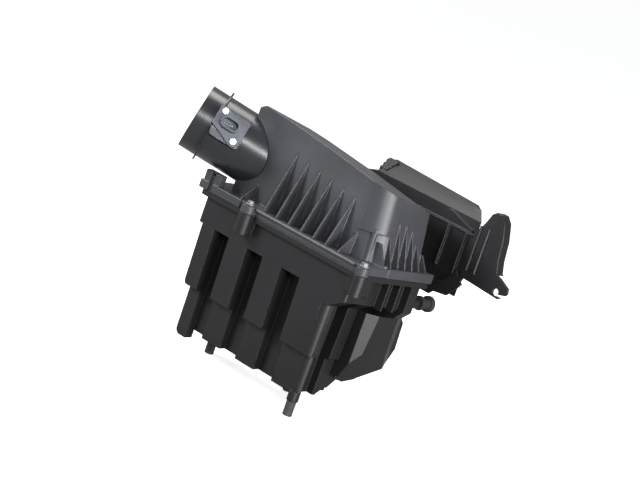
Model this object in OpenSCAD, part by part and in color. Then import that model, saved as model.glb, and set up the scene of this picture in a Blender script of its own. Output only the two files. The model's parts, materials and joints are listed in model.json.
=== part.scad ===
// Air cleaner housing with a flow sensor in its outlet tube.
// The joint between cover and lower housing is level. Axes while drawing: x runs left to right
// along the front flange, y runs from front to back, z = 0 is the joint face.
// Every piece is then shifted so that the origin is the tip of the front locating peg.

/* [Housing] */
// Width of the flange, left to right
box_w = 277; // [250:1:335]
// Depth of the flange, front to back
box_d = 120; // [112:1:146]
// Drop from the joint face to the foot of the front fins
fin_drop = 163; // [150:1:198]
// Drop from the joint face to the step in the fins
step_drop = 113.5; // [95:0.5:130]
// Depth of the filter well below the joint face
well_drop = 38.5; // [36:0.5:46]
// Moulded wall of housing and cover
wall = 2.5; // [2:0.1:3]
// Thickness of the lower flange
flange_t = 6.4; // [5:0.1:8]
// Corner radius of the flange
flange_r = 8; // [5:1:12]
// Gap between pieces that come apart
gap = 0.3; // [0.2:0.05:0.4]

/* [Fins] */
// Width of one front fin
fin_w = 32; // [26:1:36]
// Distance from one front fin to the next
fin_pitch = 60; // [52:1:70]
// How far the fins stand out from the core wall
fin_depth = 20; // [16:1:24]
// Width of the corner fin at the right
corner_fin_w = 52; // [44:1:56]
// How far each fin steps back below its step
fin_step = 8; // [5:0.5:10]

/* [Cover] */
// Height of the cover roof at its tall left end
cover_h = 115.5; // [104:0.5:138]
// Fall of the roof from its left end to its right end
roof_fall = 24.5; // [18:0.5:30]
// Slope of the roof towards the back, in degrees
roof_slope = 12.4; // [8:0.1:14]
// Thickness of the cover flange
cover_flange_t = 9.85; // [8:0.05:12]
// Distance from the flange edge to the cover's front wall
cover_setback = 20; // [17:0.5:24]
// Thickness of each stiffening rib
rib_t = 1.8; // [1.2:0.1:2.4]
// Distance between the front ribs
front_rib_pitch = 21; // [18:0.5:25]
// Distance between the ribs on the right side
side_rib_pitch = 12; // [10:0.5:14]

/* [Outlet tube] */
// Outside diameter of the outlet spigot
tube_d = 80; // [70:1:88]
// Wall of the outlet tube
tube_wall = 2.6; // [2:0.1:3.2]
// Length of the tube from its open end to the cut corner of the cover
tube_reach = 70; // [64:1:80]
// Height of the tube axis above the joint, where it meets the cut corner
tube_axis_z = 59.4; // [58.4:0.2:64]
// Distance of the tube axis behind the middle of the cut corner
tube_side = 2.8; // [0:0.1:4]
// Direction of the tube axis seen from above, in degrees from the front
tube_yaw = 41.8; // [36:0.2:48]
// Rise of the tube towards its open end, in degrees
tube_rise = 12.9; // [8:0.1:16]
// Distance from the open end to the hose stop ring
stop_ring_at = 22.4; // [18:0.2:24]
// Height of the hose stop ring
stop_ring_h = 5.5; // [3:0.5:7]

/* [Flow sensor] */
// Distance from the open end to the middle of the sensor
sensor_at = 40; // [38:0.2:46]
// Angle of the sensor above the horizontal, in degrees
sensor_tilt = 20; // [10:1:30]
// Distance of each sensor screw from the middle, both ways
sensor_screw_off = 12.8; // [12:0.1:14]
// Radius of the hole that the probe goes through
probe_hole_r = 9.5; // [9:0.1:10]
// Length of the probe inside the tube
probe_l = 44; // [40:1:50]

/* [Filter] */
// Height of the pleated pack
media_h = 30; // [24:1:30]
// Distance between pleats
pleat_pitch = 6; // [5:0.5:8]
// Thickness of the pleated paper
paper_t = 1.1; // [0.8:0.1:1.4]
// Width of the moulded seal
seal_w = 9; // [8:0.5:10]

/* [Rear duct] */
// Distance from the flange's back edge to the duct
duct_gap = 14; // [13:1:18]
// Depth of the duct, front to back
duct_d = 32; // [28:1:38]
// Height of the seam between the duct shells
duct_seam_z = 69.5; // [64:0.5:74]
// Length of the duct over the back of the cover
duct_l = 168; // [150:1:190]
// Wall of the duct shells
duct_wall = 2.2; // [1.8:0.1:2.6]

/* [Fasteners and pegs] */
// How far the locating pegs reach below the foot of the front fins
peg_drop = 26; // [21:1:61]
// Radius of the rubber foot on each peg
peg_r = 5.6; // [5:0.1:6.5]
// Shank radius of the cover screws
screw_r = 2.4; // [2:0.1:2.6]
// Radius of the cover screw bosses
boss_r = 9; // [8:0.5:10]

/* [Hidden] */
$fn = 64;
eps = 0.01;
over = 40;
well_left = 8;
well_front = 6;
well_back = 12;
well_right = 15;
low_left = 16;
corner_x = box_w - 37;
core_left = low_left + 4;
core_right = corner_x - 18;
core_front = well_front + fin_depth;
core_back = box_d - 16;
floor_rise = 38;
core_floor = -fin_drop + 1;
back_floor = core_floor + floor_rise;
shoulder_drop = well_drop + 12;
first_fin_x = 64;
corner_fin_x = corner_x - corner_fin_w;
mid_fins = floor((corner_fin_x - first_fin_x + (fin_pitch - fin_w)) / fin_pitch);
left_fin_w = 22;
left_fin_drop = fin_drop + 10.5;
left_fin_r = 7;
side_fin_y = 42;
side_fin_w = 17;
side_step = 5.5;
corner_fin_y1 = core_front - 2;
corner_fin_r = 9;
half_gap = gap / 2;

// Cover screws, seen from above
screw_out = 3;
rear_screw_out = 2.6;
front_screw = [87, -screw_out];
corner_screw = [box_w + 1.5, -1.5];
rear_right_screw = [box_w - 72, box_d + rear_screw_out];
rear_left_screw = [40, box_d + rear_screw_out];
cover_screws = [front_screw, corner_screw, rear_right_screw, rear_left_screw];
boss_drop = 24.5;
sleeve_r = 4.6;
sleeve_t = 0.9;
insert_r = 4.2;
insert_bore_r = screw_r + gap;
insert_l = 12;
screw_l = cover_flange_t + insert_l + 4;

// Seal groove shared by the flange, the cover and the filter
groove_in = 2.5;
groove_drop = 4.5;
groove_rise = 3.6;

// Cover body
cover_left = 8;
cover_right_in = 10;
cover_back_in = 14;
chamfer_x = 30;
roof_knee = 70;
roof_corner = 8;
corner_top_r = 24;
corner_low_r = 34;
corner_ledge_z = 44.5;
corner_bead_r = 3.5;
corner_bead_in = 24;
front_draft = 6;
right_draft = 14;

// Ribs of the cover
rib_foot_y = 2;
rib_foot_z = cover_flange_t + 2;
first_rib_x = 105.6;
column_x = box_w - 27;
front_ribs = floor((column_x - 24 - first_rib_x) / front_rib_pitch) + 1;
rib_top = 87.5;
rib_fall = 2.8;
side_rib_tops = [34, 41, 58, 57, 52, 38, 28];
side_rib_y = 34;

// Tube frame
tube_r = tube_d / 2;
corner_mid = [(chamfer_x + cover_left) / 2, cover_setback + (chamfer_x - cover_left) / 2 / tan(tube_yaw)];
tube_end = tube_reach + 32;
stop_ring_t = 1.8;
sensor_pad_r = tube_r + 4.6;
sensor_flange_t = 4.4;
sensor_pad_w = 41;
sensor_pad_h = 37;
sensor_insert_r = 3;
sensor_screw_r = 1.8;
sensor_insert_bore = sensor_screw_r + gap;
sensor_insert_l = 5;
sensor_pad_front = sensor_screw_off + sensor_insert_r + 1.4;
ring_at = min(stop_ring_at, sensor_at - sensor_pad_front - half_gap);
sensor_face = sensor_pad_r + gap;
socket_l = 23;
socket_w = 14;
socket_h = 10;
socket_at = [0.5, -1.5];

// Filter pack, held 2 mm inside the well
media_x0 = well_left + wall + 2;
media_x1 = box_w - well_right - wall - 2;
media_y0 = well_front + wall + 2;
media_y1 = box_d - well_back - wall - 2;
media_top = -groove_drop + gap;
media_edge_t = 1.5;
pleats = floor((media_x1 - media_x0 - paper_t) / pleat_pitch);

// Level strip of the floor, with the drain in its middle
sump_y = core_front + fin_depth + 7;
sump_l = 20;
sump_rise = 8;
drain = [118, sump_y + sump_l / 2];
drain_r = 6;

// Pegs: the first is the origin
front_peg = [corner_x - 14, core_front - 6];
left_peg = [41, 62];
rear_peg = [148, core_back - 9];
pegs = [front_peg, left_peg, rear_peg];
peg_end = fin_drop + peg_drop;
peg_core_r = peg_r - 2;
foot_l = 18;

// Duct
duct_lip = 2;
duct_y = box_d + max(duct_gap, rear_screw_out + boss_r + duct_lip + gap);
duct_right = box_w + 26;
duct_left = duct_right - duct_l;
duct_end_slant = duct_d + 6;
duct_left_slant = 12;
duct_top_fall = 8;
duct_front_top = duct_seam_z + 17;
duct_rear_top = duct_front_top + 15;
duct_right_leg_w = 80;
duct_right_leg_z = -3.5;
duct_down_x = duct_left + 16;
duct_down_w = 62;
duct_down_z = -98;
duct_rib_z = 20;
duct_lip_t = 1.5;
neck_z0 = -88;
neck_h = 34;
neck_w = 48;
neck_x = duct_down_x + (duct_down_w - neck_w) / 2;

// Side chamber on the right wall
chamber_y0 = 60;
chamber_y1 = box_d + 20;
chamber_x0 = core_right;
chamber_out = 38;
chamber_lip = 4;
chamber_seam_x = chamber_x0 + 15;

// Bracket
bracket_y = duct_y - 3;
bracket_t = 3;
bracket_rim_d = 12;
hook = [box_w + 82, 24];
hook_hole_r = 4;

// Isolator stub at the right rear corner
stub = [box_w - 14, -28];
stub_r = 4;
isolator_r = 9.5;

// ---------- placing ----------

module at_peg() translate([-front_peg[0], -front_peg[1], peg_end]) children();

// Local +z runs down the tube from its open end into the cover
module on_tube() {
    translate([corner_mid[0], corner_mid[1], tube_axis_z])
        rotate([0, 0, tube_yaw])
            rotate([0, 90 + tube_rise, 0])
                translate([0, tube_side, -tube_reach])
                    children();
}

// Local +z points straight out of the tube wall, +x to the open end
module on_sensor() {
    on_tube()
        translate([0, 0, sensor_at])
            rotate([0, 0, 270 - sensor_tilt])
                rotate([0, 90, 0])
                    children();
}

// Place of the upper (s = 1) or lower (s = -1) sensor screw, at a height z above the tube axis
module at_sensor_screw(s, z) translate([s * sensor_screw_off, -s * sensor_screw_off, z]) children();

// ---------- plain shapes ----------

module slab(x0, x1, y0, y1, z0, z1, r = 0) {
    translate([0, 0, z0]) linear_extrude(z1 - z0) round_rect(x0, x1, y0, y1, r);
}

module round_rect(x0, x1, y0, y1, r) {
    if (r <= 0) {
        translate([x0, y0]) square([x1 - x0, y1 - y0]);
    } else {
        translate([x0 + r, y0]) square([x1 - x0 - 2 * r, y1 - y0]);
        translate([x0, y0 + r]) square([x1 - x0, y1 - y0 - 2 * r]);
        for (x = [x0 + r, x1 - r], y = [y0 + r, y1 - r]) translate([x, y]) circle(r);
    }
}

// Outline in x and z, carried from y0 to y1
module front_prism(points, y0, y1) {
    translate([0, y1, 0]) rotate([90, 0, 0]) linear_extrude(y1 - y0) polygon(points);
}

// Outline in y and z, carried from x0 to x1
module side_prism(points, x0, x1) {
    translate([x0, 0, 0]) rotate([90, 0, 90]) linear_extrude(x1 - x0) polygon(points);
}

module bore(at, r, z0, z1) translate([at[0], at[1], z0]) cylinder(r = r, h = z1 - z0);

module flange_outline(inset = 0) {
    round_rect(inset, box_w - inset, inset, box_d - inset, flange_r - inset);
}

// ---------- lower housing ----------

// Solid shape of the well, core and fins; g draws every wall in by that much
module well_block(g) {
    top = g > 0 ? over : -flange_t;
    slab(well_left + g, box_w - well_right - g, well_front + g, box_d - well_back - g,
        -well_drop + g, top, flange_r / 2);
}

// Underside of the core in y and z: level at the front, rising to the back
function floor_line(g, y0, y1) = [
    [y0, core_floor + g],
    [core_front + fin_depth, core_floor + 2 + g],
    [sump_y, core_floor + sump_rise + g],
    [sump_y + sump_l, core_floor + sump_rise + g],
    [y1, back_floor + g],
    [y1, over],
    [y0, over]
];

module core_block(g) {
    top = g > 0 ? -well_drop + 2 * g : -well_drop;
    intersection() {
        side_prism(floor_line(g, core_front + g, core_back - g), core_left + g, core_right - g);
        slab(core_left - 1, core_right + 1, core_front - 1, core_back + 1, core_floor - over, top);
    }
}

// Outline of a front fin in y and z, reaching back to y1, with its foot at -drop
function fin_outline(drop, g, y1) = [
    [y1, g > 0 ? -well_drop + 2 * g : -well_drop],
    [well_front + g, g > 0 ? -well_drop + 2 * g : -well_drop],
    [well_front + 2.5 + g, -step_drop + g],
    [well_front + 2.5 + fin_step + g, -step_drop - 2 + g],
    [well_front + 3.5 + fin_step + g, -drop + g],
    [y1, -drop + 1 + g]
];

module front_fin(x0, x1, drop, g) {
    side_prism(fin_outline(drop, g, core_front + (g > 0 ? 2 * g : wall)), x0 + g, x1 - g);
}

// Outline of the right wall's fins in x and z
function shoulder_outline(drop, g, x0) = [
    [x0, g > 0 ? -well_drop + 2 * g : -well_drop],
    [box_w - well_right - g - 1, g > 0 ? -well_drop + 2 * g : -well_drop],
    [corner_x - g, -shoulder_drop + g],
    [corner_x - g - 2, -step_drop + g],
    [corner_x - g - 2 - side_step, -step_drop - 2 + g],
    [corner_x - g - 3 - side_step, -drop + g],
    [x0, -drop + g]
];

module right_fin(y0, y1, g) {
    intersection() {
        front_prism(shoulder_outline(fin_drop, g, core_right - 2 * wall), y0 + g, y1 - g);
        side_prism(floor_line(g, well_front, core_back), core_right - over, box_w);
    }
}

// What a rounded upright edge of radius r leaves out at the point (x, y)
module upright_corner(x, y, r, z0, z1) {
    translate([x - r, y + r, z0]) linear_extrude(z1 - z0) difference() {
        translate([0, -r - over]) square([r + over, r + over]);
        circle(r);
    }
}

// The column at the right front corner steps back on both faces
module corner_fin(g) {
    r = corner_fin_r - g;
    difference() {
        corner_fin_block(g);
        upright_corner(corner_x - 1 - g, well_front + 1.5 + g, r, -step_drop - 1 + g, -shoulder_drop + g);
        upright_corner(corner_x - 2 - side_step - g, well_front + 3 + fin_step + g, r,
            -fin_drop - 1, -step_drop - 1 + g);
    }
}

module corner_fin_block(g) {
    intersection() {
        side_prism(fin_outline(fin_drop, g, core_front - wall + (g > 0 ? 3 * g : 2 * wall)),
            corner_fin_x + g, box_w);
        front_prism(shoulder_outline(fin_drop, g, corner_fin_x), 0, corner_fin_y1 - g);
    }
    front_fin(corner_fin_x, core_right, fin_drop, g);
}

// What a rounded corner of radius r leaves out at the point (x, z) at the lower left of a front view
module lower_left_corner(x, z, r) {
    translate([x, core_front + over, z]) rotate([90, 0, 0]) linear_extrude(core_front + over) difference() {
        translate([-over, -2 * over]) square([r + over, r + 2 * over]);
        translate([r, r]) circle(r);
    }
}

// The fin at the left end is rounded at both of its lower corners and narrower below the step
module left_fin(g) {
    r = left_fin_r - g;
    difference() {
        front_fin(low_left, low_left + left_fin_w, left_fin_drop, g);
        difference() {
            lower_left_corner(low_left + g, -step_drop - 1 + g, r);
            slab(core_left + g, core_right, -over, over, -left_fin_drop - over, -step_drop - 1 + g);
        }
        lower_left_corner(core_left + g, -left_fin_drop + g, r);
    }
}

module housing_block(g) {
    well_block(g);
    core_block(g);
    left_fin(g);
    for (i = [0 : mid_fins - 1]) {
        x = first_fin_x + i * fin_pitch;
        front_fin(x, x + fin_w, fin_drop, g);
    }
    corner_fin(g);
    right_fin(side_fin_y, side_fin_y + side_fin_w, g);
}

module boss_posts() {
    for (s = [front_screw, rear_right_screw, rear_left_screw])
        bore(s, boss_r, -boss_drop, -half_gap);
    slab(box_w - 20, box_w - 2, 2, 26, -boss_drop, -flange_t);
    bore(corner_screw, boss_r - 1, -boss_drop, -half_gap);
    slab(front_screw[0] - boss_r, front_screw[0] + boss_r, front_screw[1], well_front + 1,
        -boss_drop, -flange_t);
    for (s = [rear_right_screw, rear_left_screw])
        slab(s[0] - boss_r, s[0] + boss_r, box_d - well_back - 1, s[1], -boss_drop, -flange_t);
}

// Ribs and strip under the flange on the right wall
module right_ribs() {
    x0 = box_w - well_right - 1;
    x1 = box_w - 4;
    for (y = [58, 77]) slab(x0, x1, y - rib_t, y, -well_drop - 2, -flange_t + eps);
    front_prism([[x0, -flange_t], [x1, -flange_t], [x1, -well_drop], [x0, -shoulder_drop]],
        95, box_d - well_back);
}

// Height of the core's underside at a depth y
function floor_at(y) = lookup(y, [
    [core_front, core_floor],
    [core_front + fin_depth, core_floor + 2],
    [sump_y, core_floor + sump_rise],
    [sump_y + sump_l, core_floor + sump_rise],
    [core_back, back_floor]
]);

module peg_posts() {
    for (p = pegs) {
        bore(p, peg_core_r, -peg_end + 3, floor_at(p[1]) + wall);
        bore(p, peg_r + 1.2, -peg_end + foot_l + gap, floor_at(p[1]) + wall);
    }
}

// Tongue at the front left corner that the cover's loop drops over
module hook_tongue() {
    slab(12, 18, -0.4, 2.4, -flange_t, cover_flange_t + 9);
}

module lower_housing() {
    at_peg() color([0.10, 0.10, 0.105]) difference() {
        union() {
            difference() {
                union() {
                    housing_block(0);
                    translate([0, 0, -flange_t - half_gap]) linear_extrude(flange_t) flange_outline();
                    boss_posts();
                    right_ribs();
                    hook_tongue();
                }
                housing_block(wall);
            }
            peg_posts();
            stub_mount();
            slab(neck_x - 3, neck_x + neck_w + 3, core_back - wall - 1, core_back + 5,
                neck_z0 - 3, neck_z0 + neck_h + 3);
        }
        translate([0, 0, -groove_drop]) linear_extrude(over) flange_outline(groove_in);
        for (s = cover_screws) bore(s, insert_r, -half_gap - insert_l, over);
        for (s = cover_screws) bore(s, insert_bore_r, -boss_drop + 2, over);
        slab(neck_x, neck_x + neck_w, core_back - 12, core_back + over, neck_z0, neck_z0 + neck_h);
        translate([drain[0], drain[1], core_floor - over]) cylinder(r = drain_r, h = 2 * over);
        chamber_port();
    }
}

// Way from the housing into the side chamber
module chamber_port() {
    slab(core_right - 2 * wall, core_right + 2 * wall, chamber_y0 + 10, core_back - 12, -106, -60);
}

module stub_mount() {
    translate([stub[0], box_d - well_back - 1, stub[1]])
        rotate([-90, 0, 0]) cylinder(r = stub_r + 3, h = 14);
    translate([stub[0], box_d, stub[1]]) rotate([-90, 0, 0]) cylinder(r = stub_r, h = 26);
}

// ---------- small pieces on the lower housing ----------

module threaded_inserts() {
    at_peg() color("goldenrod") for (s = cover_screws) difference() {
        bore(s, insert_r, -half_gap - insert_l, -half_gap);
        bore(s, insert_bore_r, -over, over);
    }
}

module peg_feet() {
    at_peg() color([0.2, 0.2, 0.2]) for (p = pegs) translate([p[0], p[1], -peg_end]) difference() {
        cylinder(r = peg_r, h = foot_l);
        translate([0, 0, 3]) cylinder(r = peg_core_r, h = foot_l);
    }
}

module side_isolator() {
    at_peg() color([0.12, 0.12, 0.12])
        translate([stub[0], box_d + 8, stub[1]]) rotate([-90, 0, 0]) difference() {
            union() {
                cylinder(r = isolator_r - 3, h = 12);
                translate([0, 0, 12]) cylinder(r = isolator_r, h = 6);
                translate([0, 0, -2]) cylinder(r = isolator_r - 1, h = 3);
            }
            translate([0, 0, -over]) cylinder(r = stub_r, h = 2 * over);
        }
}

module drain_valve() {
    z = core_floor + sump_rise;
    at_peg() color([0.1, 0.1, 0.1]) translate([drain[0], drain[1], z]) difference() {
        union() {
            translate([0, 0, wall]) cylinder(r = drain_r + 2, h = 1.5);
            translate([0, 0, -1]) cylinder(r = drain_r, h = wall + 2);
            translate([0, 0, -2.6]) cylinder(r = drain_r + 1.6, h = 2.6);
            translate([0, 0, -12]) cylinder(r1 = drain_r - 3.5, r2 = drain_r, h = 10);
        }
        translate([0, 0, -9]) cylinder(r = drain_r - 3.8, h = over);
        slab(-drain_r, drain_r, -0.4, 0.4, -13, -8);
    }
}

// ---------- side chamber on the right wall ----------

// Section of the chamber in y and z, drawn in by g
function chamber_outline(g) = [
    [chamber_y0 + g, -shoulder_drop - g],
    [chamber_y0 + g, -132 + g],
    [chamber_y0 + 14, -135 + g],
    [chamber_y0 + 32, -131 + g],
    [chamber_y1 - 22, -117 + g * 1.2],
    [chamber_y1 - 8 - g * 0.5, -108 + g],
    [chamber_y1 - g, -94],
    [chamber_y1 - 2 - g, -62],
    [chamber_y1 - 12 - g, -shoulder_drop - g]
];

module chamber_block(g) {
    intersection() {
        side_prism(chamber_outline(g), chamber_x0 + wall, chamber_x0 + chamber_out);
        front_prism([
            [chamber_x0, -shoulder_drop + over],
            [chamber_x0 + chamber_out - 2 - g, -shoulder_drop + over],
            [chamber_x0 + chamber_out - g, -shoulder_drop - 3],
            [chamber_x0 + chamber_out - 2 - g, -98],
            [chamber_x0 + chamber_out - 20 - g, -140],
            [chamber_x0, -140]
        ], chamber_y0 - eps, chamber_y1 + eps);
        translate([0, 0, -160]) linear_extrude(160) polygon([
            [chamber_x0 + wall - eps, chamber_y0],
            [chamber_x0 + chamber_out - 8 - g, chamber_y0],
            [chamber_x0 + chamber_out - g, chamber_y0 + 14],
            [chamber_x0 + chamber_out - g, chamber_y1 - 34],
            [chamber_x0 + chamber_out - 22 - g, chamber_y1],
            [chamber_x0 + wall - eps, chamber_y1]
        ]);
    }
}

module side_chamber() {
    at_peg() color([0.11, 0.11, 0.115]) difference() {
        union() {
            chamber_block(0);
            side_prism(rim_outline(), chamber_seam_x, chamber_seam_x + wall);
            side_prism([
                [chamber_y1 - 6, -66],
                [chamber_y1 + 4, -69],
                [chamber_y1 + 4, -76],
                [chamber_y1 - 6, -74]
            ], chamber_x0 + 8, chamber_x0 + 14);
        }
        translate([-1, 0, 0]) chamber_block(wall);
        right_fin(side_fin_y, side_fin_y + side_fin_w + eps, 0);
        well_block(0);
    }
}

// Section of the chamber with a lip along its bottom and its back
function rim_outline() = [for (p = chamber_outline(0))
    [p[0] + (p[0] > core_back ? chamber_lip : 0), p[1] - (p[1] < -100 ? chamber_lip : 0)]];

// Flat back plate that the chamber shell is welded to
module chamber_weld_rim() {
    at_peg() color([0.07, 0.07, 0.07]) difference() {
        side_prism(rim_outline(), chamber_x0, chamber_x0 + wall);
        slab(chamber_x0 - 1, chamber_x0 + wall + 1, chamber_y0 + 10, core_back - 12, -106, -60);
    }
}

// ---------- rear duct ----------

function duct_plan(g) = [
    [duct_left + g, duct_y + g],
    [duct_right - g * 0.4, duct_y + g],
    [duct_right - duct_end_slant + (g > 0 ? over - g : 0), duct_y + duct_d - g],
    [duct_left - duct_left_slant + g, duct_y + duct_d - g]
];

function duct_front(g) = [
    [duct_left - duct_left_slant + g, duct_seam_z - 10 + g],
    [duct_left - duct_left_slant + g, duct_rear_top - 3 - g],
    [duct_left - duct_left_slant + 4 + g, duct_rear_top - g],
    [duct_right + over, duct_rear_top - duct_top_fall - g],
    [duct_right + over, duct_right_leg_z + g],
    [duct_right - duct_right_leg_w + g, duct_right_leg_z + g],
    [duct_right - duct_right_leg_w + g, duct_seam_z - 10 + g],
    [duct_down_x + duct_down_w - g, duct_seam_z - 10 + g],
    [duct_down_x + duct_down_w - g, duct_down_z + g],
    [duct_down_x + g, duct_down_z + g],
    [duct_down_x + g, duct_seam_z - 10 + g]
];

function duct_side(g) = [
    [duct_y + g, duct_down_z - 1],
    [duct_y + g, duct_front_top - g * 0.6],
    [duct_y + duct_d * 0.5, duct_front_top + 10 - g],
    [duct_y + duct_d, duct_rear_top - g],
    [duct_y + duct_d, duct_down_z - 1]
];

// Solid of the duct; with g it is drawn in by the wall and runs out of the slanted mouth
module duct_block(g) {
    intersection() {
        translate([0, 0, duct_down_z - 2]) linear_extrude(260) polygon(duct_plan(g));
        front_prism(duct_front(g), duct_y - 1, duct_y + duct_d + 1);
        side_prism(duct_side(g), duct_left - over, duct_right + over);
    }
}

module duct_shell() {
    difference() {
        duct_block(0);
        duct_block(duct_wall);
    }
}

module duct_lower_shell() {
    at_peg() color([0.12, 0.12, 0.125]) {
        difference() {
            union() {
                intersection() {
                    duct_shell();
                    slab(duct_left - over, duct_right + over, duct_y - 1, duct_y + duct_d + 1,
                        duct_down_z - 5, duct_seam_z);
                }
                translate([0, 0, duct_seam_z - duct_lip_t])
                    linear_extrude(duct_lip_t) lip_outline();
                slab(neck_x - duct_wall, neck_x + neck_w + duct_wall, core_back + 8, duct_y + 1,
                    neck_z0 - duct_wall, neck_z0 + neck_h + duct_wall);
            }
            slab(neck_x, neck_x + neck_w, core_back, duct_y + duct_wall + 1, neck_z0, neck_z0 + neck_h);
            duct_block(duct_wall);
        }
        for (x = [duct_right - 42, duct_right - 14])
            slab(x, x + rib_t, duct_y - 4, duct_y + eps, duct_rib_z, duct_seam_z - duct_lip_t);
    }
}

module lip_outline() {
    polygon([
        [duct_left - duct_lip, duct_y - duct_lip],
        [duct_right - 3, duct_y - duct_lip],
        [duct_right - 3, duct_y],
        [duct_right, duct_y],
        [duct_right - duct_end_slant, duct_y + duct_d],
        [duct_left - duct_left_slant - duct_lip, duct_y + duct_d]
    ]);
}

module duct_upper_shell() {
    at_peg() color([0.13, 0.13, 0.135]) difference() {
        union() {
            intersection() {
                duct_shell();
                slab(duct_left - over, duct_right + over, duct_y - 1, duct_y + duct_d + 1,
                    duct_seam_z, duct_rear_top + 5);
            }
            translate([0, 0, duct_seam_z]) linear_extrude(duct_lip_t) lip_outline();
            duct_top_ribs();
        }
        duct_block(duct_wall);
    }
}

// Slanted gusset at the right end, steps at the left end and the tongue beside them
module duct_top_ribs() {
    front_prism([
        [duct_right - 50, duct_front_top - 3],
        [duct_right - 45, duct_front_top - 1.5],
        [duct_right - 6, duct_seam_z + 4],
        [duct_right - 8, duct_seam_z + duct_lip_t - eps]
    ], duct_y - duct_lip, duct_y + duct_wall / 2);
    for (i = [0 : 2])
        side_prism([
            [duct_y + 4 + 6 * i, duct_front_top - 4],
            [duct_y + 4 + 6 * i, duct_front_top + 5 + 4 * i],
            [duct_y + 10 + 6 * i, duct_front_top + 7.5 + 4 * i],
            [duct_y + 14 + 6 * i, duct_front_top - 4]
        ], duct_left - duct_left_slant * (10 + 6 * i) / duct_d - 1.5, duct_left + 6);
    front_prism([
        [duct_left, duct_front_top + 1],
        [duct_left - 22, duct_front_top - 5],
        [duct_left - 22, duct_front_top - 8],
        [duct_left, duct_front_top - 14]
    ], duct_y, duct_y + duct_d / 2);
}

// Rubber frame between the duct's neck and the housing's back wall
module duct_gasket() {
    at_peg() color([0.06, 0.06, 0.06]) difference() {
        slab(neck_x - 3, neck_x + neck_w + 3, core_back + 5, core_back + 8,
            neck_z0 - 3, neck_z0 + neck_h + 3);
        slab(neck_x, neck_x + neck_w, core_back, core_back + 12, neck_z0, neck_z0 + neck_h);
    }
}

// ---------- bracket ----------

function bracket_outline() = [
    [box_w + 24, 4],
    [box_w + 24, 72],
    [box_w + 34, 88.5],
    [box_w + 39, 101],
    [box_w + 45, 105.5],
    [box_w + 53, 105],
    [box_w + 60, 98],
    [box_w + 66, 79],
    [box_w + 69, 56],
    [box_w + 73, 43],
    [hook[0], 40],
    [hook[0] + 13, 34],
    [hook[0] + 15, 28],
    [hook[0] + 12, 24.6],
    [hook[0], 22.2],
    [hook[0], 20.6],
    [hook[0] + 8, 20.6],
    [hook[0] + 3, 17.4],
    [box_w + 50, 19.5],
    [box_w + 30, 20.5]
];

module bracket_foot() {
    polygon([
        [box_w - 28, -flange_t],
        [box_w - 28, -14],
        [box_w - 10, -14],
        [box_w - 5, -9],
        [box_w + 15, -6.5],
        [box_w + 24, 3],
        [box_w + 31, 13],
        [box_w + 26, 17],
        [box_w + 18, 26],
        [box_w + 3, 7],
        [box_w - 14, 2]
    ]);
}

module bracket_rim() {
    difference() {
        front_prism(bracket_outline(), bracket_y, bracket_y + bracket_rim_d);
        translate([-bracket_t, -0.4 * bracket_t, -0.6])
            front_prism(bracket_outline(), bracket_y - 1, bracket_y + over);
        slab(box_w, box_w + 46, bracket_y - 1, bracket_y + over, -10, 120);
        slab(box_w, box_w + 120, bracket_y - 1, bracket_y + over, -10, 42);
    }
}

module mounting_bracket() {
    at_peg() color([0.11, 0.11, 0.115]) difference() {
        union() {
            front_prism(bracket_outline(), bracket_y, bracket_y + bracket_t);
            bracket_rim();
            translate([0, bracket_y + bracket_t, 0]) rotate([90, 0, 0])
                linear_extrude(bracket_t) bracket_foot();
            for (x = [box_w + 30, box_w + 42])
                slab(x, x + rib_t, bracket_y - 2, bracket_y + eps, 30, 84);
        }
        translate([hook[0] - 2, bracket_y - 1, hook[1]])
            rotate([-90, 0, 0]) cylinder(r = hook_hole_r, h = over);
    }
}

// ---------- filter ----------

module filter_seal() {
    at_peg() color([0.75, 0.35, 0.12]) difference() {
        translate([0, 0, -groove_drop + gap]) linear_extrude(groove_drop + groove_rise - 2 * gap)
            flange_outline(groove_in + gap);
        slab(well_left + wall + seal_w, box_w - well_right - wall - seal_w,
            well_front + wall + seal_w, box_d - well_back - wall - seal_w, -over, over, 2);
    }
}

// Zigzag of the pleats in x and z: along the upper side, then back along the lower side
function zig(i) = i % 2 == 0 ? media_top : media_top - media_h + paper_t;
function pleat_outline() = concat(
    [for (i = [0 : 2 * pleats]) [media_x0 + i * pleat_pitch / 2, zig(i) + (i % 2 == 0 ? 0 : paper_t * 1.5)]],
    [for (i = [2 * pleats : -1 : 0])
        [media_x0 + i * pleat_pitch / 2, zig(i) - (i % 2 == 0 ? paper_t * 2.5 : 0)]]
);

module filter_media() {
    at_peg() color([0.85, 0.78, 0.55]) {
        front_prism(pleat_outline(), media_y0 + media_edge_t - eps, media_y1 - media_edge_t + eps);
        for (y = [media_y0, media_y1 - media_edge_t])
            slab(media_x0, media_x0 + pleats * pleat_pitch, y, y + media_edge_t,
                media_top - media_h, media_top);
    }
}

// ---------- cover ----------

// Drafted faces of the cover: the front wall's y and the right wall's x at a height z
function front_y(z) = cover_setback + front_draft * z / cover_h;
function right_x(z) = box_w - cover_right_in - right_draft * z / (cover_h - roof_fall);

// Plan of the cover body with its cut-off corner square to the tube
function cover_plan(g) = [
    [chamfer_x + g * tan((90 - tube_yaw) / 2), cover_setback + g],
    [box_w - cover_right_in + over, cover_setback + g],
    [box_w - cover_right_in + over, box_d - cover_back_in - g],
    [cover_left + g, box_d - cover_back_in - g],
    [cover_left + g, cover_setback + (chamfer_x - cover_left) / tan(tube_yaw) + g * tan(tube_yaw / 2)]
];

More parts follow.
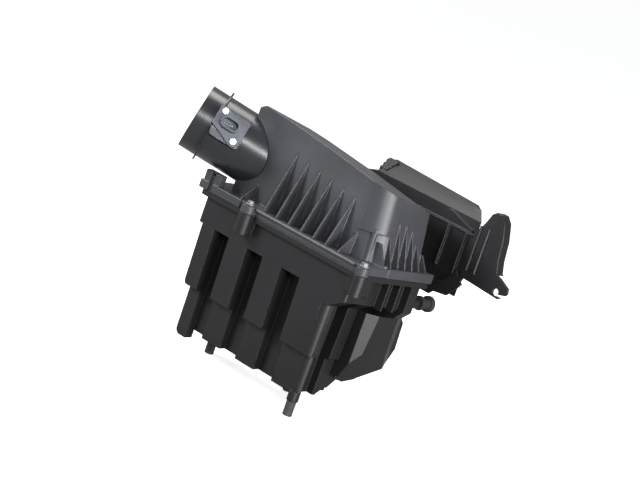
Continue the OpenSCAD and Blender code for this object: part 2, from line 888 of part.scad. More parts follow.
// Front view of the roof and the drafted right wall
function roof_outline(g) = [
    [cover_left - 1, -over],
    [cover_left - 1, cover_h - roof_corner * 1.8 - g],
    [chamfer_x - 4, cover_h - roof_corner * 0.62 - g],
    [chamfer_x, cover_h - roof_corner * 0.34 - g],
    [chamfer_x + roof_corner * 0.5, cover_h - roof_corner * 0.1 - g],
    [chamfer_x + roof_corner, cover_h - 0.6 - g],
    [roof_knee, cover_h - 3 - g],
    [roof_knee + 0.42 * (box_w - roof_knee), cover_h - 3 - (roof_fall - 3) * 0.42 - g],
    [right_x(cover_h - roof_fall) - g, cover_h - roof_fall - g],
    [right_x(-over) - g, -over]
];

// What a rounded corner of radius r leaves out at the right front, leaning with both walls
module leaning_corner(r, g, z0, z1) {
    translate([right_x(0) - g, front_y(0) + g, 0])
        rotate([-atan(front_draft / cover_h), -atan(right_draft / (cover_h - roof_fall)), 0])
            translate([0, 0, z0]) linear_extrude(z1 - z0) difference() {
                translate([-r, -over]) square([r + over, r + over]);
                translate([-r, r]) circle(r);
            }
}

module cover_block(g) {
    difference() {
        cover_walls(g);
        leaning_corner(corner_low_r - g, g, -over, corner_ledge_z + g);
        leaning_corner(corner_top_r - g, g, corner_ledge_z + g, cover_h + over);
    }
}

module cover_walls(g) {
    intersection() {
        translate([0, 0, g > 0 ? -1 : half_gap]) linear_extrude(cover_h + over) polygon(cover_plan(g));
        translate([0, cover_setback, 0])
            rotate([-roof_slope, 0, 0]) front_prism(roof_outline(g), -over, box_d + over);
        side_prism([
            [front_y(-1) + g, -1],
            [front_y(cover_h + over) + g, cover_h + over],
            [box_d - cover_back_in - 4 - g, cover_h + over],
            [box_d - cover_back_in - g, -1]
        ], -1, box_w + 1);
    }
}

// Triangular plates between the front wall and the flange
module front_rib(x, top) {
    side_prism([
        [rib_foot_y, cover_flange_t - 1],
        [rib_foot_y, rib_foot_z],
        [front_y(top) + 0.5, top],
        [front_y(top) + 2, top - 1],
        [front_y(0) + 2, cover_flange_t - 1]
    ], x - rib_t / 2, x + rib_t / 2);
}

module side_rib(i) {
    y = side_rib_y + i * side_rib_pitch;
    top = side_rib_tops[i];
    front_prism([
        [box_w - 2, cover_flange_t - 1],
        [box_w - 2, rib_foot_z],
        [right_x(top) - 0.5, top],
        [right_x(top) - corner_low_r / 3, top - 1],
        [right_x(0) - corner_low_r / 3, cover_flange_t - 1]
    ], y - rib_t / 2, y + rib_t / 2);
}

// Half round bead in the hollow above the corner screw
module corner_bead() {
    y = front_y(0) + corner_low_r - sqrt(corner_low_r * corner_low_r - corner_bead_in * corner_bead_in);
    bore([column_x, y], corner_bead_r, half_gap, corner_ledge_z + wall);
}

module cover_flange() {
    translate([0, 0, half_gap]) linear_extrude(cover_flange_t - half_gap) flange_outline();
    for (s = cover_screws) bore(s, boss_r - (s == corner_screw ? 1 : 0), half_gap, cover_flange_t);
    // proud band at the left end of the front edge, with a bead along the rest
    slab(-2, 70, -1.6, 2, half_gap, cover_flange_t);
    translate([97, 0.4, cover_flange_t - 2.6]) rotate([0, 90, 0]) cylinder(r = 2.4, h = box_w - 110);
    // raised band along the right side
    slab(box_w - 4, box_w + 1, 42, box_d - 2, half_gap, cover_flange_t + 1.2);
    bore([box_w - 5, 39], 4, half_gap, cover_flange_t + 3);
}

// Loop that drops over the tongue of the lower housing
module hook_loop() {
    difference() {
        slab(2, 28, -1.2, 8, cover_flange_t - 1, cover_flange_t + 13.5);
        slab(11.6, 18.4, -2, 5.4, half_gap - 1, over);
    }
}

module upper_cover() {
    at_peg() color([0.16, 0.16, 0.17]) difference() {
        union() {
            cover_block(0);
            cover_flange();
            corner_bead();
            for (i = [0 : front_ribs - 1])
                front_rib(first_rib_x + i * front_rib_pitch, rib_top - rib_fall * i);
            front_rib(column_x - 18, 35);
            front_rib(66, 30);
            for (i = [0 : len(side_rib_tops) - 1]) side_rib(i);
            hook_loop();
        }
        cover_block(wall);
        slab(11.6, 18.4, -2, 5.4, -1, over);
        translate([0, 0, -1]) linear_extrude(groove_rise + 1) flange_outline(groove_in);
        for (s = cover_screws) bore(s, sleeve_r, -1, cover_flange_t + eps);
        for (s = cover_screws) bore(s, 9.5, cover_flange_t, over);
        on_tube() translate([0, 0, -10]) cylinder(r = tube_r + 0.02, h = tube_end + 10);
    }
}

module compression_sleeves() {
    at_peg() color("silver") for (s = cover_screws) difference() {
        bore(s, sleeve_r, half_gap, cover_flange_t);
        bore(s, sleeve_r - sleeve_t, -1, over);
    }
}

// ---------- outlet tube ----------

module outlet_tube() {
    at_peg() color([0.12, 0.12, 0.13]) difference() {
        union() {
            on_tube() cylinder(r = tube_r, h = tube_end);
            difference() {
                on_tube() translate([0, 0, ring_at]) cylinder(r = tube_r + stop_ring_h, h = stop_ring_t);
                on_sensor() translate([0, 0, sensor_pad_r]) linear_extrude(over)
                    round_rect(-sensor_pad_w / 2, sensor_pad_w / 2, -sensor_pad_h / 2, sensor_pad_h / 2, 0);
            }
            on_sensor() translate([0, 0, sensor_pad_r - 14]) linear_extrude(14)
                round_rect(-sensor_pad_w / 2, sensor_pad_front, -sensor_pad_h / 2, sensor_pad_h / 2, 4);
        }
        on_tube() translate([0, 0, -1]) cylinder(r = tube_r - tube_wall, h = tube_end + 2);
        on_sensor() cylinder(r = probe_hole_r, h = sensor_pad_r + 1);
        on_sensor() for (s = [-1, 1])
            at_sensor_screw(s, sensor_pad_r - sensor_insert_l) cylinder(r = sensor_insert_r, h = over);
        cover_block(wall);
    }
}

module flow_screen() {
    r = tube_r - tube_wall;
    bar = 1;
    pitch = 7.5;
    n = floor(r / pitch);
    at_peg() color([0.2, 0.2, 0.2]) on_tube() translate([0, 0, 62]) {
        difference() {
            cylinder(r = r, h = 4);
            translate([0, 0, -1]) cylinder(r = r - 1.6, h = 6);
        }
        intersection() {
            translate([0, 0, 1]) cylinder(r = r - 1, h = 2);
            union() for (i = [-n : n]) {
                translate([i * pitch - bar / 2, -r, 0]) cube([bar, 2 * r, 4]);
                translate([-r, i * pitch - bar / 2, 0]) cube([2 * r, bar, 4]);
            }
        }
    }
}

module sensor_inserts() {
    at_peg() color("goldenrod") on_sensor() for (s = [-1, 1])
        at_sensor_screw(s, sensor_pad_r - sensor_insert_l) difference() {
            cylinder(r = sensor_insert_r, h = sensor_insert_l);
            translate([0, 0, -1]) cylinder(r = sensor_insert_bore, h = over);
        }
}

// ---------- flow sensor ----------

module oval(l, w) {
    for (s = [-1, 1]) translate([s * (l - w) / 2, 0]) circle(w / 2);
    square([l - w, w], center = true);
}

module sensor_body() {
    e = sensor_screw_off;
    at_peg() color([0.62, 0.64, 0.68]) on_sensor() translate([0, 0, sensor_face]) difference() {
        union() {
            linear_extrude(sensor_flange_t) {
                polygon([
                    [20, -17], [e + 3, -18.4], [-19.5, -8], [-20.5, 4],
                    [-17, 17], [-10, 18.4], [4, 12], [20, 6]
                ]);
                for (s = [-1, 1]) translate([s * e, -s * e]) circle(6.2);
            }
            translate([socket_at[0], socket_at[1], 0])
                linear_extrude(sensor_flange_t + socket_h) oval(socket_l, socket_w);
            translate([0, 0, -6]) cylinder(r = probe_hole_r - 0.9, h = 6.5);
        }
        translate([socket_at[0], socket_at[1], 3]) linear_extrude(over) oval(socket_l - 3.2, socket_w - 3.2);
        for (s = [-1, 1]) translate([s * e, -s * e, -1]) cylinder(r = sensor_screw_r + gap, h = over);
        translate([0, 0, -4.6]) difference() {
            cylinder(r = over, h = 2.4);
            translate([0, 0, -1]) cylinder(r = probe_hole_r - 2.3, h = 5);
        }
    }
}

module sensor_o_ring() {
    at_peg() color("black") on_sensor() translate([0, 0, sensor_face - 3.4])
        rotate_extrude() translate([probe_hole_r - 1.3, 0]) circle(r = 0.99, $fn = 24);
}

module sensor_probe() {
    w = 13;
    t = 9;
    at_peg() color([0.3, 0.3, 0.32]) on_sensor() translate([0, 0, sensor_face - probe_l]) difference() {
        linear_extrude(probe_l - 6) round_rect(-t / 2, t / 2, -w / 2, w / 2, 2);
        translate([-over, 0, 8]) rotate([0, 90, 0]) cylinder(r = 4, h = 2 * over);
    }
}

module sensor_element() {
    at_peg() color([0.7, 0.6, 0.3]) on_sensor() translate([0, 0, sensor_face - probe_l + 8])
        translate([-2, -3.81, -1.2]) cube([4, 7.62, 0.6]);
}

module sensor_terminals() {
    at_peg() color("silver") on_sensor() translate([socket_at[0], socket_at[1], sensor_face + 3])
        for (i = [-2 : 2]) translate([i * 3.4 - 0.4, -0.4, 0]) cube([0.8, 0.8, 5]);
}

// Pan head screw; x is its place along the sensor's diagonal
module sensor_screw(s) {
    at_peg() color("gainsboro") on_sensor()
        at_sensor_screw(s, sensor_face + sensor_flange_t + gap) difference() {
            union() {
                cylinder(r1 = 4.35, r2 = 3.6, h = 2.6);
                translate([0, 0, -sensor_flange_t - 2 * gap - 4]) cylinder(r = sensor_screw_r, h = 9);
            }
            translate([0, 0, 1]) cylinder(r = 1.7, h = 5, $fn = 6);
        }
}

module sensor_screw_upper() sensor_screw(1);
module sensor_screw_lower() sensor_screw(-1);

// ---------- cover screws ----------

module cover_screw(at) {
    at_peg() color("gainsboro") translate([at[0], at[1], cover_flange_t + gap]) difference() {
        union() {
            cylinder(r = 5.8, h = 1.3);
            cylinder(r = 4.3, h = 4.6, $fn = 6);
            translate([0, 0, -screw_l]) cylinder(r = screw_r, h = screw_l + 1);
        }
        translate([0, 0, 2]) cylinder(r = 2.1, h = 5, $fn = 6);
    }
}

module cover_screw_front() cover_screw(front_screw);
module cover_screw_corner() cover_screw(corner_screw);
module cover_screw_rear_right() cover_screw(rear_right_screw);
module cover_screw_rear_left() cover_screw(rear_left_screw);

lower_housing();
threaded_inserts();
side_chamber();
chamber_weld_rim();
peg_feet();
side_isolator();
drain_valve();
duct_lower_shell();
duct_upper_shell();
duct_gasket();
mounting_bracket();
filter_seal();
filter_media();
upper_cover();
compression_sleeves();
outlet_tube();
flow_screen();
sensor_inserts();
sensor_body();
sensor_probe();
sensor_o_ring();
sensor_terminals();
sensor_element();
sensor_screw_upper();
sensor_screw_lower();
cover_screw_front();
cover_screw_corner();
cover_screw_rear_right();
cover_screw_rear_left();
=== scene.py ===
"""Air cleaner housing with a flow sensor.

Materials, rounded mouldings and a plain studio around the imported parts.
"""

import json
import math

import bmesh
import bpy
from mathutils import Matrix, Vector

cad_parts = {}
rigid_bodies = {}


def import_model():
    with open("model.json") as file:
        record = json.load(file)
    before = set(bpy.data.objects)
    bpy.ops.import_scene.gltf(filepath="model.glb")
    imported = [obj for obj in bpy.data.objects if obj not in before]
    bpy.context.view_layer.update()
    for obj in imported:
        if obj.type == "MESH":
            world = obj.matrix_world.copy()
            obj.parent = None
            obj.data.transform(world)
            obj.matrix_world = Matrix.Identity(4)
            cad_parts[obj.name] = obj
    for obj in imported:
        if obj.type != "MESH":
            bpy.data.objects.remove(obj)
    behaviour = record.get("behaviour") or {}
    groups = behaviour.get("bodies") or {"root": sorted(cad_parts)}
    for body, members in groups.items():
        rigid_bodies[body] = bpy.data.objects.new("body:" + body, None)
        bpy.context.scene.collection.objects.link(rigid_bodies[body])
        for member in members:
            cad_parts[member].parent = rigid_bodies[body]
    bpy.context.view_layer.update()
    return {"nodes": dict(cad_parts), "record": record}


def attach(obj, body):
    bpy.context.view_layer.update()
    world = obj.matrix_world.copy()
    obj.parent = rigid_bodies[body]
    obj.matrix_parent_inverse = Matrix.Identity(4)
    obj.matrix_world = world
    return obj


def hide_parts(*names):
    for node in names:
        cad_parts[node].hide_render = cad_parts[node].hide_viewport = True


for leftover in list(bpy.data.objects):
    bpy.data.objects.remove(leftover)
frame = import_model()

MM = 0.001
NODES = frame["nodes"]
BODY_OF = {n: b for b, ns in frame["record"]["behaviour"]["bodies"].items() for n in ns}
SLOT_OF = {s["node"]: s["material_slot"] for s in frame["record"]["subparts"]}


# ---------- shader arithmetic ----------

class Signal:
    """A shader socket that takes part in Python arithmetic."""

    def __init__(self, finish, socket):
        self.finish = finish
        self.socket = socket

    def _math(self, operation, first, second, clamp=False):
        settings = {"operation": operation, "use_clamp": clamp}
        return self.finish.add("ShaderNodeMath", settings, {0: first, 1: second})

    def __add__(self, other):
        return self._math("ADD", self, other)

    def __radd__(self, other):
        return self._math("ADD", other, self)

    def __sub__(self, other):
        return self._math("SUBTRACT", self, other)

    def __rsub__(self, other):
        return self._math("SUBTRACT", other, self)

    def __mul__(self, other):
        return self._math("MULTIPLY", self, other)

    def __rmul__(self, other):
        return self._math("MULTIPLY", other, self)

    def clamped(self):
        return self._math("ADD", self, 0.0, clamp=True)


class Finish:
    """One node material, from its first node to its shader."""

    def __init__(self, name):
        self.material = bpy.data.materials.new(name)
        self.material.use_nodes = True
        self.tree = self.material.node_tree
        self.tree.nodes.clear()
        self.output = self.tree.nodes.new("ShaderNodeOutputMaterial")
        self.place = self.add("ShaderNodeTexCoord", {}, {}, "Object")

    def add(self, kind, settings, inputs, outlet=0):
        """A node of that type: settings first, then the values or links of its sockets."""
        node = self.tree.nodes.new(kind)
        for key, value in settings.items():
            if key == "stops":
                self._set_stops(node.color_ramp, value)
            else:
                setattr(node, key, value)
        for key, value in inputs.items():
            socket = node.inputs[key]
            if isinstance(value, Signal):
                self.tree.links.new(value.socket, socket)
            else:
                socket.default_value = value
        return Signal(self, node.outputs[outlet])

    @staticmethod
    def _set_stops(ramp, stops):
        while len(ramp.elements) < len(stops):
            ramp.elements.new(0.5)
        for element, (position, level) in zip(ramp.elements, stops):
            element.position = position
            element.color = (level, level, level, 1)

    def noise(self, scale, detail=2.0, roughness=0.5, stretch=(1, 1, 1)):
        place = self.add("ShaderNodeMapping", {}, {"Vector": self.place, "Scale": stretch})
        return self.add("ShaderNodeTexNoise", {}, {
            "Vector": place, "Scale": scale, "Detail": detail, "Roughness": roughness}, "Fac")

    def ramp(self, signal, *stops):
        return self.add("ShaderNodeValToRGB", {"stops": stops}, {"Fac": signal}, "Color")

    def blend(self, amount, low, high):
        """Between two colours."""
        low, high = (c if isinstance(c, Signal) else (*c, 1) for c in (low, high))
        return self.add("ShaderNodeMix", {"data_type": "RGBA"}, {0: amount, 6: low, 7: high}, 2)

    def rolled(self, radius):
        """The normal with every edge rolled over by that radius."""
        return self.add("ShaderNodeBevel", {"samples": 6}, {"Radius": radius})

    def edges(self, radius):
        """0 on open faces and up to 1 on convex or concave edges."""
        soft = self.add("ShaderNodeBevel", {"samples": 4}, {"Radius": radius})
        hard = self.add("ShaderNodeNewGeometry", {}, {}, "Normal")
        settings = {"operation": "DOT_PRODUCT"}
        agreement = self.add("ShaderNodeVectorMath", settings, {0: soft, 1: hard}, "Value")
        return ((1 - agreement) * 6).clamped()

    def bump(self, height, strength, distance, under=None):
        inputs = {"Height": height, "Strength": strength, "Distance": distance}
        if under is not None:
            inputs["Normal"] = under
        return self.add("ShaderNodeBump", {}, inputs)

    def finish(self, **sockets):
        names = {name.replace("_", " "): value for name, value in sockets.items()}
        shader = self.add("ShaderNodeBsdfPrincipled", {}, names)
        self.tree.links.new(shader.socket, self.output.inputs["Surface"])
        return self.material


def tint(colour, gain):
    return tuple(c * gain for c in colour)


def moulded_plastic(name, colour, rough, grain=0.25, specular=0.4, mottling=0.18, edge_highlight=1.6,
                    spark=0.05, radius=1.3 * MM):
    """Moulded plastic: fine spark-eroded grain, cloudy gloss, faint handling marks and a painted
    highlight that makes every edge paler.
    """
    f = Finish(name)
    cloud = f.noise(14, 4.0, 0.6)
    grains = f.noise(1600, 2.0, 0.6)
    specks = f.noise(420, 2.0, 0.55)
    marks = f.noise(60, 6.0, 0.7, stretch=(1, 1, 7))
    edge = f.edges(1.1 * MM)
    shade = f.blend(f.ramp(cloud, (0.3, 0.0), (0.7, 1.0)),
                    tint(colour, 1 - mottling), tint(colour, 1 + mottling))
    shade = f.blend(f.ramp(specks, (0.52, 0.0), (0.66, 1.0)) * 0.3, shade, tint(colour, 1.35))
    # painted highlight: the base colour is lightened on every convex and concave edge
    shade = f.blend(edge * 0.5, shade, tint(colour, edge_highlight))
    gloss = rough + (cloud - 0.5) * 0.12 + (marks - 0.5) * 0.10
    gloss = gloss + (grains - 0.5) * spark - edge * 0.04
    grain_normal = f.bump(grains, grain, 0.12 * MM, f.rolled(radius))
    normal = f.bump(f.noise(9, 3.0), 0.10, 2.5 * MM, grain_normal)
    return f.finish(Base_Color=shade, Roughness=gloss, Normal=normal, Specular_IOR_Level=specular)


def rubber(name, colour, rough=0.72):
    """Moulded rubber: dull, slightly dusty, with a faint bloom in the hollows."""
    f = Finish(name)
    dust = f.ramp(f.noise(90, 5.0, 0.65), (0.45, 0.0), (0.75, 1.0))
    pores = f.noise(2200, 2.0, 0.5)
    shade = f.blend(dust * 0.45, colour, tint(colour, 1.9))
    shade = f.blend(f.edges(0.9 * MM) * 0.4, shade, tint(colour, 1.6))
    return f.finish(Base_Color=shade, Roughness=rough + (pores - 0.5) * 0.15,
                    Normal=f.bump(pores, 0.35, 0.15 * MM), Specular_IOR_Level=0.3)


def plated_steel(name, colour=(0.62, 0.63, 0.65), rough=0.34):
    """Zinc plated steel: fine turned lines, cloudy passivation and brighter corners."""
    f = Finish(name)
    lines = f.noise(2600, 2.0, 0.5, stretch=(1, 1, 0.06))
    cloud = f.noise(260, 3.0, 0.6)
    shade = f.blend(f.ramp(cloud, (0.35, 0.0), (0.7, 1.0)), tint(colour, 0.82), tint(colour, 1.15))
    shade = f.blend(f.edges(0.4 * MM), shade, (0.86, 0.86, 0.87))
    return f.finish(Base_Color=shade, Metallic=1.0,
                    Roughness=rough + (lines - 0.5) * 0.22 + (cloud - 0.5) * 0.1,
                    Normal=f.bump(lines, 0.2, 0.05 * MM))


def dull_steel(name, colour=(0.2, 0.2, 0.21)):
    """Weathered zinc: grey, patchy and nearly matt."""
    f = Finish(name)
    bloom = f.ramp(f.noise(220, 5.0, 0.7), (0.4, 0.0), (0.68, 1.0))
    shade = f.blend(bloom, tint(colour, 0.7), tint(colour, 1.4))
    shade = f.blend(f.edges(0.4 * MM) * 0.6, shade, (0.42, 0.42, 0.43))
    return f.finish(Base_Color=shade, Metallic=0.7, Roughness=0.5 + bloom * 0.2,
                    Normal=f.bump(f.noise(900, 2.0), 0.25, 0.06 * MM))


def brass(name, colour=(0.62, 0.42, 0.17), rough=0.33):
    """Turned brass with faint tarnish."""
    f = Finish(name)
    tarnish = f.ramp(f.noise(190, 4.0, 0.65), (0.42, 0.0), (0.7, 1.0))
    shade = f.blend(tarnish * 0.6, colour, tint(colour, 0.55))
    lines = f.noise(2400, 2.0, 0.5, stretch=(1, 1, 0.08))
    return f.finish(Base_Color=shade, Metallic=1.0,
                    Roughness=rough + tarnish * 0.16 + (lines - 0.5) * 0.1,
                    Normal=f.bump(lines, 0.2, 0.05 * MM))


def pleated_paper(name, colour=(0.62, 0.52, 0.33)):
    """Resin-bonded filter paper: fibres, cockle and a little dust on the folds."""
    f = Finish(name)
    fibres = f.noise(1300, 4.0, 0.7, stretch=(1, 0.15, 1))
    cockle = f.noise(70, 3.0)
    dust = f.ramp(f.noise(35, 5.0, 0.7), (0.5, 0.0), (0.8, 1.0))
    shade = f.blend(fibres, tint(colour, 0.85), tint(colour, 1.12))
    shade = f.blend(dust * 0.35, shade, (0.3, 0.27, 0.22))
    return f.finish(Base_Color=shade, Roughness=0.85 + (fibres - 0.5) * 0.1,
                    Normal=f.bump(fibres + cockle, 0.3, 0.2 * MM), Specular_IOR_Level=0.25)


def make_finishes():
    return {
        "black_plastic": moulded_plastic("housing_black_plastic", (0.0062, 0.0062, 0.0068), 0.45),
        "cover_plastic": moulded_plastic("cover_black_plastic", (0.034, 0.0343, 0.039), 0.42,
                                         grain=0.2, specular=0.45, radius=2.2 * MM),
        "tube_plastic": moulded_plastic("tube_black_plastic", (0.014, 0.0145, 0.017), 0.29,
                                        grain=0.1, specular=0.5, mottling=0.1, edge_highlight=1.3,
                                        spark=0.02),
        "dark_plastic": moulded_plastic("deep_black_plastic", (0.010, 0.010, 0.011), 0.5),
        "sensor_plastic": moulded_plastic("glass_filled_grey_plastic", (0.075, 0.081, 0.101),
                                          0.48, mottling=0.1, edge_highlight=1.5, radius=0.5 * MM),
        "grey_rubber": rubber("grey_rubber", (0.035, 0.035, 0.037)),
        "black_rubber": rubber("black_rubber", (0.016, 0.016, 0.0165)),
        "filter_seal": rubber("orange_seal_rubber", (0.46, 0.13, 0.03), 0.6),
        "filter_paper": pleated_paper("cream_filter_paper"),
        "bright_steel": plated_steel("zinc_plated_steel", (0.8, 0.81, 0.83), 0.4),
        "brass_insert": brass("turned_brass"),
        "contact_metal": plated_steel("tinned_contact_metal", (0.7, 0.68, 0.62), 0.28),
    }


FINISHES = make_finishes()


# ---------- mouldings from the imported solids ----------

WELD = 0.001 * MM
FLAT = math.radians(0.5)
CREASE = math.radians(24)
STRAIGHT_ON = math.radians(150)
SLIM = 0.42
TINY_AREA = 0.3 * MM * MM
LEAST_ROUNDING = 0.06 * MM
SAME_LEVEL = 0.05 * MM
SAME_WAY = 0.9998


def room_beside(edge):
    """How wide a rounding the faces beside an edge leave room for."""
    room = 1.0
    for face in edge.link_faces:
        for vert in edge.verts:
            along = edge.other_vert(vert).co - vert.co
            for other in face.edges:
                if other is edge or vert not in other.verts:
                    continue
                out = other.other_vert(vert).co - vert.co
                if out.length < WELD or along.length < WELD:
                    return 0.0
                turn = along.angle(out)
                if turn < STRAIGHT_ON:
                    room = min(room, SLIM * out.length * math.sin(turn))
    return room


def welded_copy(node):
    """The node's mesh with its doubled corners welded."""
    mesh = bmesh.new()
    mesh.from_mesh(NODES[node].data)
    bmesh.ops.remove_doubles(mesh, verts=mesh.verts, dist=WELD)
    return mesh


def settle(mesh, name, node):
    """Turns worked mesh data into a piece that stands for a node."""
    data = bpy.data.meshes.new(name)
    mesh.to_mesh(data)
    mesh.free()
    piece = bpy.data.objects.new(name, data)
    bpy.context.scene.collection.objects.link(piece)
    data.polygons.foreach_set("use_smooth", [True] * len(data.polygons))
    paint(piece, node)
    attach(piece, BODY_OF[node])
    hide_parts(node)
    return piece


def paint(piece, node):
    piece.data.materials.clear()
    piece.data.materials.append(FINISHES[SLOT_OF[node]])


def round_edges(mesh, radius):
    """Marks every crease with its rounding, as wide as asked or as its faces leave room for."""
    weight = mesh.edges.layers.float.new("bevel_weight_edge")
    for edge in mesh.edges:
        if len(edge.link_faces) != 2 or edge.calc_face_angle(0.0) <= CREASE:
            continue
        fit = min(radius, room_beside(edge))
        if fit < LEAST_ROUNDING:
            edge.smooth = False
        else:
            edge[weight] = fit / radius


def soften(piece, width, segments):
    bevel = piece.modifiers.new("rounding", "BEVEL")
    bevel.limit_method = "WEIGHT"
    bevel.width = width
    bevel.segments = segments
    bevel.use_clamp_overlap = False
    bevel.miter_outer = "MITER_ARC"
    shade = piece.modifiers.new("shading", "WEIGHTED_NORMAL")
    shade.keep_sharp = True
    shade.weight = 80


def reach(points):
    """Lowest and highest corners of some points."""
    return [(min(p[axis] for p in points), max(p[axis] for p in points)) for axis in range(3)]


def touching(one, other):
    return all(low - WELD <= top and bottom <= high + WELD
               for (low, high), (bottom, top) in zip(one, other))


def crossed_faces(piece):
    """Normal, level and reach of every face whose outline crosses itself once its edges are rounded."""
    shaped = piece.evaluated_get(bpy.context.evaluated_depsgraph_get())
    data = shaped.to_mesh()
    data.calc_loop_triangles()
    covered = [0.0] * len(data.polygons)
    for triangle in data.loop_triangles:
        covered[triangle.polygon_index] += triangle.area
    crossed = [(face.normal.copy(), face.normal.dot(face.center),
                reach([data.vertices[v].co for v in face.vertices]))
               for face in data.polygons if covered[face.index] > 1.01 * face.area + TINY_AREA]
    shaped.to_mesh_clear()
    return crossed


def keep_whole(piece):
    """Takes rounding away, a little more at each turn, around faces that it would tear."""
    for turn in range(4):
        crossed = crossed_faces(piece)
        if not crossed:
            return
        mesh = bmesh.new()
        mesh.from_mesh(piece.data)
        weight = mesh.edges.layers.float["bevel_weight_edge"]
        for face in mesh.faces:
            level, span = face.normal.dot(face.verts[0].co), reach([v.co for v in face.verts])
            if not any(face.normal.dot(way) > SAME_WAY and abs(level - at) < SAME_LEVEL
                       and touching(span, area) for way, at, area in crossed):
                continue
            for edge in {edge for vert in face.verts for edge in vert.link_edges}:
                if turn > 0 or edge[weight] < 0.95:
                    edge[weight] *= 0.5 if turn == 1 else 0.0
        mesh.to_mesh(piece.data)
        mesh.free()


def thin_skin(node, name):
    """The node with its creases kept crisp and its curved walls smooth."""
    mesh = welded_copy(node)
    for edge in mesh.edges:
        edge.smooth = len(edge.link_faces) == 2 and edge.calc_face_angle(0.0) < CREASE
    settle(mesh, name, node)


def moulding(node, name, radius, segments=3):
    """The node as a moulder makes it, with a radius on every edge."""
    mesh = welded_copy(node)
    bmesh.ops.dissolve_limit(mesh, angle_limit=FLAT, verts=mesh.verts, edges=mesh.edges)
    round_edges(mesh, radius)
    piece = settle(mesh, name, node)
    soften(piece, radius, segments)
    keep_whole(piece)
    return piece


thin_skin("upper_cover", "cover_moulding")
thin_skin("lower_housing", "housing_moulding")
thin_skin("outlet_tube", "outlet_tube_moulding")
thin_skin("side_chamber", "side_chamber_moulding")
moulding("chamber_weld_rim", "chamber_rim_moulding", 0.8 * MM)
thin_skin("duct_lower_shell", "duct_lower_moulding")
thin_skin("duct_upper_shell", "duct_upper_moulding")
moulding("duct_gasket", "duct_gasket_rubber", 0.6 * MM)
moulding("mounting_bracket", "bracket_moulding", 0.8 * MM)
moulding("peg_feet", "peg_feet_rubber", 1.2 * MM)
moulding("side_isolator", "side_isolator_rubber", 1.0 * MM)
moulding("drain_valve", "drain_valve_rubber", 0.4 * MM)
moulding("filter_seal", "filter_seal_rubber", 1.0 * MM)
moulding("filter_media", "filter_paper_pack", 0.15 * MM, 2)
moulding("flow_screen", "flow_screen_grid", 0.2 * MM, 2)
moulding("sensor_body", "sensor_body_moulding", 0.5 * MM)
moulding("sensor_probe", "sensor_probe_moulding", 0.4 * MM)
moulding("sensor_terminals", "sensor_terminal_pins", 0.12 * MM, 2)
WEATHERED = dull_steel("weathered_zinc")
for place in ("front", "corner", "rear_right", "rear_left"):
    screw = moulding(f"cover_screw_{place}", f"{place}_cover_screw", 0.25 * MM)
    screw.data.materials[0] = WEATHERED
for place in ("upper", "lower"):
    moulding(f"sensor_screw_{place}", f"{place}_sensor_screw", 0.2 * MM)
for node in ("threaded_inserts", "compression_sleeves", "sensor_inserts", "sensor_element",
             "sensor_o_ring"):
    paint(NODES[node], node)


# ---------- studio ----------

LOOK_AT = Vector((-0.1111, 0.0787, 0.1771))
TO_RIGHT = Vector((0.6622, 0.6736, 0.3282))
TO_TOP = Vector((-0.3633, -0.0945, 0.9269))
AHEAD = TO_TOP.cross(TO_RIGHT).normalized()
CAMERA_DISTANCE = 3.0
VIEW_WIDTH = 0.744
SENSOR_WIDTH = 36.0
FLOOR_RADIUS = 60


def make_camera():
    data = bpy.data.cameras.new("studio_camera")
    data.sensor_width = SENSOR_WIDTH
    data.lens = SENSOR_WIDTH * CAMERA_DISTANCE / VIEW_WIDTH
    data.clip_end = 200
    camera = bpy.data.objects.new("studio_camera", data)
    bpy.context.scene.collection.objects.link(camera)
    turn = Matrix((TO_RIGHT, TO_TOP, -AHEAD)).transposed().to_4x4()
    turn.translation = LOOK_AT - AHEAD * CAMERA_DISTANCE
    camera.matrix_world = turn
    bpy.context.scene.camera = camera


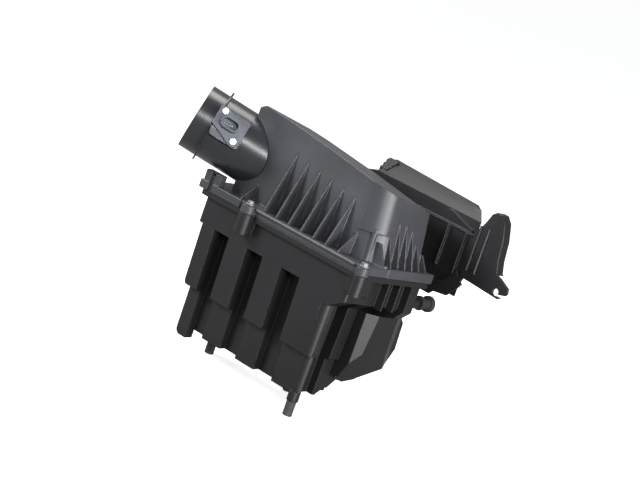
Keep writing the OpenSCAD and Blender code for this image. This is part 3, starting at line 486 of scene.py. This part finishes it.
def make_floor():
    mesh = bmesh.new()
    bmesh.ops.create_circle(mesh, cap_ends=True, segments=96, radius=FLOOR_RADIUS)
    data = bpy.data.meshes.new("studio_floor")
    mesh.to_mesh(data)
    mesh.free()
    floor = bpy.data.objects.new("studio_floor", data)
    bpy.context.scene.collection.objects.link(floor)
    f = Finish("pale_floor")
    seen = f.add("ShaderNodeLightPath", {}, {}, "Is Camera Ray")
    pale = f.add("ShaderNodeBsdfDiffuse", {}, {"Color": (0.6, 0.6, 0.6, 1)})
    lift = f.add("ShaderNodeEmission", {}, {"Color": (1, 1, 1, 1), "Strength": 0.74})
    bright = f.add("ShaderNodeAddShader", {}, {0: pale, 1: lift})
    dim = f.add("ShaderNodeBsdfDiffuse", {}, {"Color": (0.3, 0.3, 0.3, 1)})
    both = f.add("ShaderNodeMixShader", {}, {0: seen, 1: dim, 2: bright})
    f.tree.links.new(both.socket, f.output.inputs["Surface"])
    data.materials.append(f.material)


def make_light(name, at, towards, size, power, colour=(1, 1, 1)):
    data = bpy.data.lights.new(name, "AREA")
    data.shape = "RECTANGLE"
    data.size, data.size_y = size
    data.energy = power
    data.color = colour
    light = bpy.data.objects.new(name, data)
    bpy.context.scene.collection.objects.link(light)
    light.location = at
    light.rotation_mode = "QUATERNION"
    light.rotation_quaternion = (Vector(towards) - Vector(at)).to_track_quat("-Z", "Y")


def make_studio():
    world = bpy.data.worlds.new("studio")
    bpy.context.scene.world = world
    world.use_nodes = True
    background = world.node_tree.nodes["Background"]
    background.inputs["Color"].default_value = (0.96, 0.98, 1.0, 1)
    background.inputs["Strength"].default_value = 0.4
    bpy.context.scene.view_settings.view_transform = "Standard"
    make_light("overhead_panel", (-0.6, 0.3, 1.9), (-0.05, 0.05, 0.18), (1.2, 0.9), 30,
               (1.0, 0.98, 0.95))
    make_light("left_panel", (-1.7, -1.5, 1.3), (-0.2, 0.0, 0.25), (0.8, 0.8), 60,
               (0.95, 0.97, 1.0))
    make_light("right_panel", (1.95, -0.35, 0.3), (0.0, 0.05, 0.12), (0.9, 0.55), 56)
    make_light("behind_camera_panel", (1.8, -1.5, 1.15), (-0.23, 0.0, 0.25), (0.55, 0.45), 44,
               (0.95, 0.98, 1.0))


make_camera()
make_floor()
make_studio()
